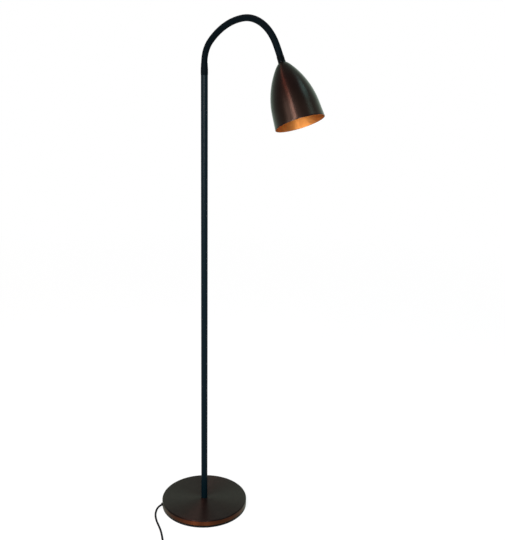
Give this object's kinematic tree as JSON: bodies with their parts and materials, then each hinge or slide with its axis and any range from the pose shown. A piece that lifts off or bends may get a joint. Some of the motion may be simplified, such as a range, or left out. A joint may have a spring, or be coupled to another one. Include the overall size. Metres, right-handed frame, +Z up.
{
  "type": "gooseneck reading floor lamp",
  "caption": "Floor-standing reading lamp with a round weighted base, a slim straight pole, a bendable gooseneck and a spun bell shade that points down.",
  "frame": {"origin": "centre of the round base, on the floor", "axes": "+Z up along the pole, +X the way the arm reaches from the pole, +Y to the arm's left"},
  "size_m": [0.4817, 0.3303, 1.2266],
  "materials": {
    "bronze_paint": "dark bronze lacquer, satin",
    "iron": "raw casting",
    "pad_rubber": "matt",
    "plain_steel": "plain zinc plate",
    "black_metal": "satin black",
    "pole_paint": "black lacquer, semi-gloss",
    "collar_plastic": "shrunk-on sleeve, fine matt",
    "neck_sleeve": "soft sleeve, fine matt",
    "lead_plastic": "insulation",
    "shade_paint": "dark bronze outside, gold inside",
    "holder_plastic": "moulded",
    "thread_brass": "rolled thread",
    "bulb_metal": "rolled thread",
    "bulb_glass": "opal",
    "cord_rubber": "matt extruded",
    "switch_plastic": "fine spark texture",
    "rocker_plastic": "polished",
    "relief_rubber": "matt",
    "plug_plastic": "fine spark texture",
    "pin_metal": "nickel plate"
  },
  "bodies": {
    "stand": {"base_cover": "bronze_paint", "base_joint_box": "lead_plastic", "base_nut": "plain_steel", "base_pad": "pad_rubber", "base_threaded_tube": "plain_steel", "base_washer": "plain_steel", "base_weight": "iron", "cord_coil": "cord_rubber", "cord_grommet": "cord_rubber", "cord_lead": "cord_rubber", "cord_link": "cord_rubber", "cord_tail": "cord_rubber", "neck_foot_ferrule": "plain_steel", "neck_hose_0": "plain_steel", "neck_sleeve_0": "neck_sleeve", "plug_body": "plug_plastic", "plug_pins": "pin_metal", "plug_relief": "relief_rubber", "pole": "pole_paint", "pole_collar": "collar_plastic", "pole_foot_bush": "plain_steel", "pole_head_bush": "plain_steel", "pole_lead": "lead_plastic", "switch_base": "switch_plastic", "switch_reliefs": "relief_rubber", "switch_top": "switch_plastic"},
    "neck_link_1": {"neck_sleeve_1": "neck_sleeve", "neck_hose_1": "plain_steel", "neck_lead_1": "lead_plastic"},
    "neck_link_2": {"neck_sleeve_2": "neck_sleeve", "neck_hose_2": "plain_steel", "neck_lead_2": "lead_plastic"},
    "neck_link_3": {"neck_sleeve_3": "neck_sleeve", "neck_hose_3": "plain_steel", "neck_lead_3": "lead_plastic"},
    "neck_link_4": {"neck_sleeve_4": "neck_sleeve", "neck_hose_4": "plain_steel", "neck_lead_4": "lead_plastic"},
    "neck_link_5": {"neck_sleeve_5": "neck_sleeve", "neck_hose_5": "plain_steel", "neck_lead_5": "lead_plastic"},
    "neck_link_6": {"neck_sleeve_6": "neck_sleeve", "neck_hose_6": "plain_steel", "neck_lead_6": "lead_plastic"},
    "neck_link_7": {"neck_sleeve_7": "neck_sleeve", "neck_hose_7": "plain_steel", "neck_lead_7": "lead_plastic"},
    "head": {"neck_sleeve_8": "neck_sleeve", "neck_hose_8": "plain_steel", "neck_head_ferrule": "black_metal", "shade": "shade_paint", "bulb_cap": "bulb_metal", "bulb_glass": "bulb_glass", "holder_body": "holder_plastic", "holder_cap": "holder_plastic", "holder_contact": "thread_brass", "holder_thread_shell": "thread_brass", "holder_washer": "plain_steel"},
    "rocker": {"switch_rocker": "rocker_plastic"}
  },
  "joints": [
    {"name": "neck_bend_1", "type": "hinge", "parent": "stand", "child": "neck_link_1", "pos_m": [0.00112, 0, 1.13493], "axis": [0, 1, 0], "range_deg": [-25, 12]},
    {"name": "neck_bend_2", "type": "hinge", "parent": "neck_link_1", "child": "neck_link_2", "pos_m": [0.0209, 0, 1.17036], "axis": [0.6833, 0, -0.7302], "range_deg": [-20, 20]},
    {"name": "neck_bend_3", "type": "hinge", "parent": "neck_link_2", "child": "neck_link_3", "pos_m": [0.05394, 0, 1.19497], "axis": [0, 1, 0], "range_deg": [-25, 12]},
    {"name": "neck_bend_4", "type": "hinge", "parent": "neck_link_3", "child": "neck_link_4", "pos_m": [0.09163, 0, 1.21162], "axis": [0.2995, 0, -0.9541], "range_deg": [-20, 20]},
    {"name": "neck_bend_5", "type": "hinge", "parent": "neck_link_4", "child": "neck_link_5", "pos_m": [0.13207, 0, 1.21941], "axis": [0, 1, 0], "range_deg": [-25, 12]},
    {"name": "neck_bend_6", "type": "hinge", "parent": "neck_link_5", "child": "neck_link_6", "pos_m": [0.17261, 0, 1.21327], "axis": [-0.3462, 0, -0.9382], "range_deg": [-20, 20]},
    {"name": "neck_bend_7", "type": "hinge", "parent": "neck_link_6", "child": "neck_link_7", "pos_m": [0.20742, 0, 1.19161], "axis": [0, 1, 0], "range_deg": [-25, 12]},
    {"name": "neck_bend_8", "type": "hinge", "parent": "neck_link_7", "child": "head", "pos_m": [0.23133, 0, 1.1582], "axis": [-0.8822, 0, -0.4709], "range_deg": [-20, 20]},
    {"name": "rocker_tilt", "type": "hinge", "parent": "stand", "child": "rocker", "pos_m": [0.14073, -0.20451, 0.0107], "axis": [0.2079, 0.9781, 0], "range_deg": [-18, 0]}
  ]
}
